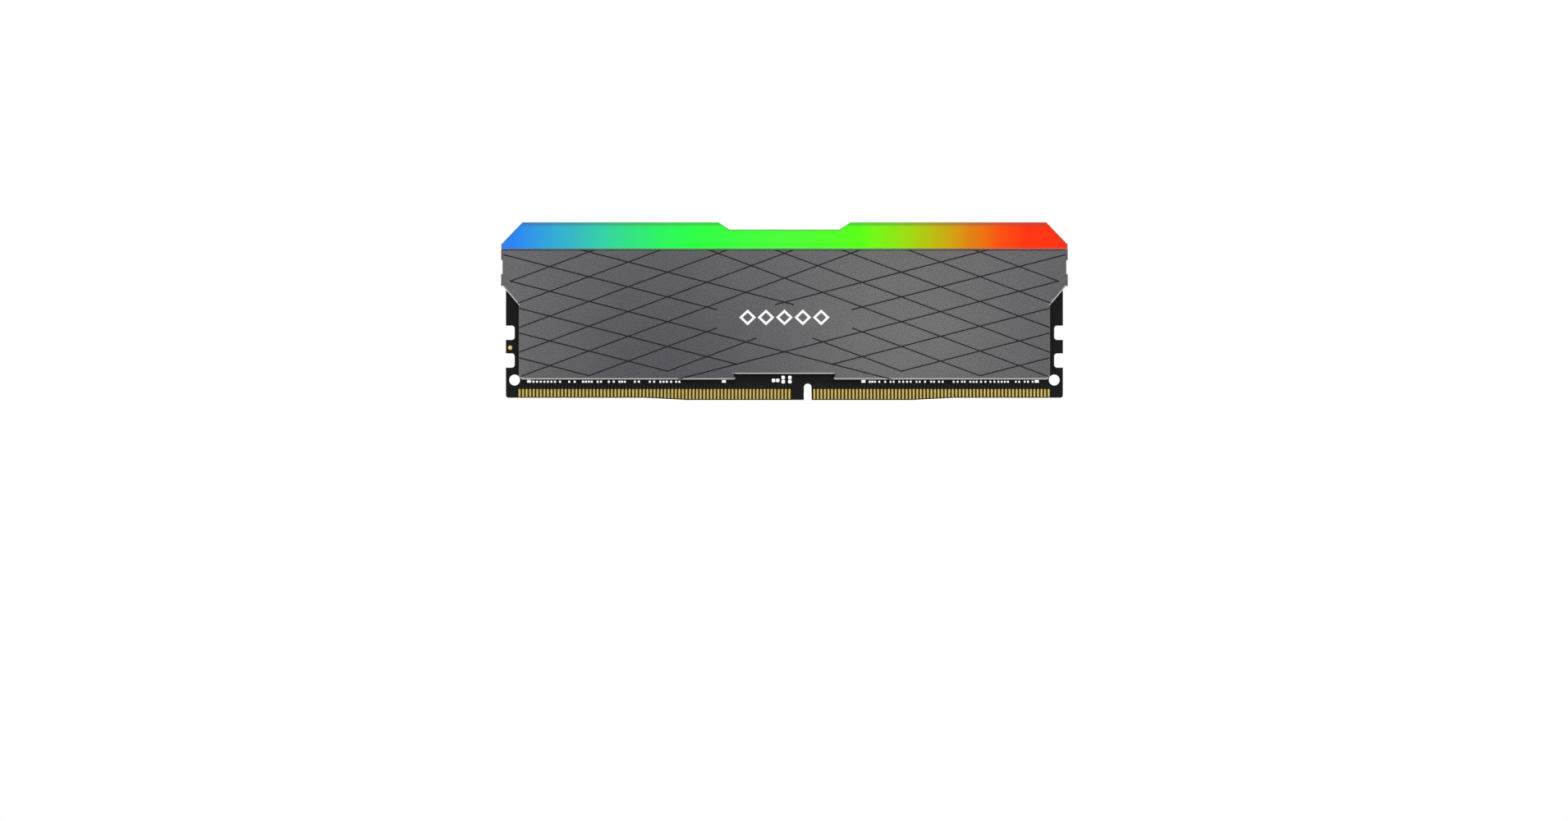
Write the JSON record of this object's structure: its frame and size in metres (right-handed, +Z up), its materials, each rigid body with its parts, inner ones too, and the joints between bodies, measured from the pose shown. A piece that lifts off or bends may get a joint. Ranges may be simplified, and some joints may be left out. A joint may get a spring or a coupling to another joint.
{
  "type": "ram module",
  "caption": "Desktop memory module: a gold-edged circuit board between grooved metal heat spreaders, with a translucent glowing bar along the top.",
  "frame": {"origin": "midway between the front and rear faces, under the middle of the board, at the height of the lowest stretch of the contact edge", "axes": "+X along the module, to the right seen from the front; -Y out of the front face; +Z up, away from the socket"},
  "size_m": [0.1354, 0.0072, 0.0425],
  "materials": {
    "board": "satin black solder mask on glass-epoxy laminate",
    "gold": "gold plating, satin",
    "chip_moulding": "matt black epoxy moulding",
    "solder": "bright tinned solder",
    "led_housing": "white moulded housing",
    "led_lens": "clear gel filling",
    "resistor_body": "dark glass over ceramic",
    "capacitor_body": "tan ceramic",
    "thermal_pad": "soft grey-blue silicone pad",
    "heat_spreader": "fine bead-blasted, anodised grey, bright cut bevels",
    "white_print": "white ink",
    "light_bar": "milky translucent, lit from below in a blue to green to red sweep",
    "tape": "black double-sided foam tape"
  },
  "bodies": {
    "root": {"circuit_board": "board", "front_contacts": "gold", "rear_contacts": "gold", "test_via": "gold", "memory_chip_1": "chip_moulding", "memory_chip_2": "chip_moulding", "memory_chip_3": "chip_moulding", "memory_chip_4": "chip_moulding", "memory_chip_5": "chip_moulding", "memory_chip_6": "chip_moulding", "memory_chip_7": "chip_moulding", "memory_chip_8": "chip_moulding", "memory_chip_solder_balls": "solder", "configuration_memory": "chip_moulding", "lighting_controller": "chip_moulding", "rgb_led_1": "led_housing", "rgb_led_2": "led_housing", "rgb_led_3": "led_housing", "rgb_led_4": "led_housing", "rgb_led_5": "led_housing", "rgb_led_6": "led_housing", "rgb_led_7": "led_housing", "rgb_led_8": "led_housing", "rgb_led_lenses": "led_lens", "resistors": "resistor_body", "resistor_ends": "solder", "capacitors": "capacitor_body", "capacitor_ends": "solder", "bare_solder_pads": "solder", "front_thermal_pad": "thermal_pad", "rear_thermal_pad": "thermal_pad", "front_heat_spreader": "heat_spreader", "rear_heat_spreader": "heat_spreader", "printed_mark": "white_print", "light_bar_diffuser": "light_bar", "front_light_bar_tape": "tape", "rear_light_bar_tape": "tape"}
  },
  "joints": []
}
